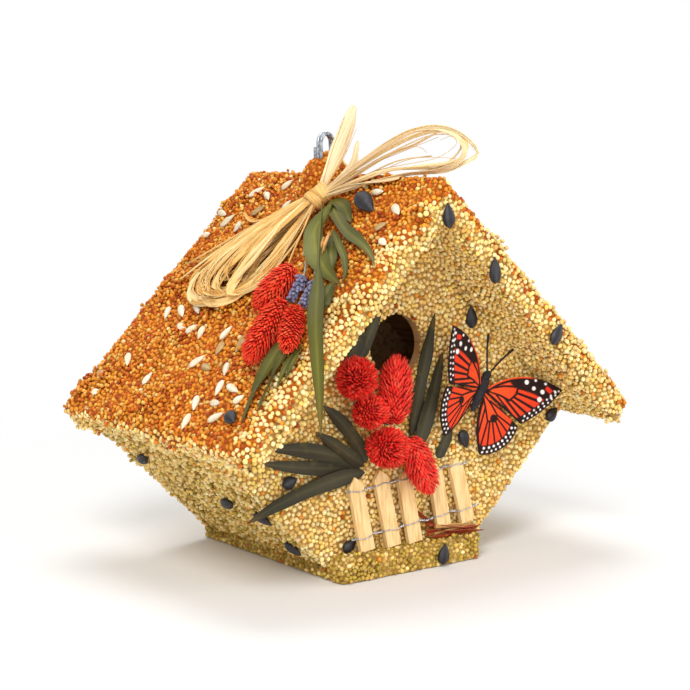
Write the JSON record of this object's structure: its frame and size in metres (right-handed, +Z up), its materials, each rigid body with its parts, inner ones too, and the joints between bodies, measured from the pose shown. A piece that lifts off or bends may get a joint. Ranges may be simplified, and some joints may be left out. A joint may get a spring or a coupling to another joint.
{
  "type": "seed coated hanging birdhouse",
  "caption": "Small diamond-shaped plywood birdhouse coated in glued bird seed, with a round entrance, a porch, a wire hanger, a raffia bow, dried flowers, a picket fence and a butterfly.",
  "frame": {"origin": "on the underside of the floor, straight below the ridge and midway along the roof", "axes": "+Z up, -Y out of the entrance, +X to the right of someone facing the entrance"},
  "size_m": [0.1984, 0.1551, 0.1958],
  "materials": {
    "plywood": "plain sanded plywood",
    "white_seed": "glued white millet, matte grains",
    "golden_seed": "glued golden millet, matte grains",
    "coarse_seed": "glued coarse mixed seed, matte grains",
    "steel_wire": "galvanised wire",
    "dowel": "plain turned wood",
    "raffia": "dry split palm fibre",
    "leaf": "dried leaf, dull",
    "cone_flower": "dyed dried flower head",
    "lavender": "dried flower buds",
    "picket_wood": "bare sawn wood",
    "dried_stem": "dried stems",
    "butterfly_wing": "painted card, dull",
    "butterfly_body": "flocked"
  },
  "bodies": {
    "house": {"back_panel": "plywood", "back_seed_coat": "white_seed", "butterfly_antennae": "butterfly_body", "butterfly_body": "butterfly_body", "butterfly_left_forewing": "butterfly_wing", "butterfly_left_hindwing": "butterfly_wing", "butterfly_pin": "steel_wire", "butterfly_right_forewing": "butterfly_wing", "butterfly_right_hindwing": "butterfly_wing", "dried_stems": "dried_stem", "face_flower_1": "cone_flower", "face_flower_2": "cone_flower", "face_flower_3": "cone_flower", "face_flower_4": "cone_flower", "face_flower_5": "cone_flower", "face_leaves_hole": "leaf", "face_leaves_left": "leaf", "face_leaves_right": "leaf", "fence_lower_wire": "steel_wire", "fence_picket_1": "picket_wood", "fence_picket_2": "picket_wood", "fence_picket_3": "picket_wood", "fence_picket_4": "picket_wood", "fence_picket_5": "picket_wood", "fence_upper_wire": "steel_wire", "floor_board": "plywood", "floor_seed_coat": "coarse_seed", "flower_pegs": "steel_wire", "front_panel": "plywood", "front_seed_coat": "white_seed", "hanger_seed_plug": "white_seed", "hanging_leaf": "leaf", "lavender_sprigs": "lavender", "left_rim_seed_coat": "white_seed", "left_roof_board": "plywood", "left_roof_seed_coat": "golden_seed", "left_wall": "plywood", "left_wall_seed_coat": "white_seed", "porch_seed_coat": "coarse_seed", "raffia_knot": "raffia", "raffia_left_loop": "raffia", "raffia_right_loop": "raffia", "raffia_tails": "raffia", "right_rim_seed_coat": "white_seed", "right_roof_board": "plywood", "right_roof_seed_coat": "golden_seed", "right_wall": "plywood", "right_wall_seed_coat": "white_seed", "roof_flower_1": "cone_flower", "roof_flower_2": "cone_flower", "roof_flower_3": "cone_flower", "roof_leaves": "leaf"},
    "hanger": {"hanger_wire": "steel_wire", "hanger_dowel": "dowel"}
  },
  "joints": [
    {"name": "hanger_slide", "type": "slide", "parent": "house", "child": "hanger", "axis": [0, 0, 1], "range_m": [-0.005, 0]}
  ]
}
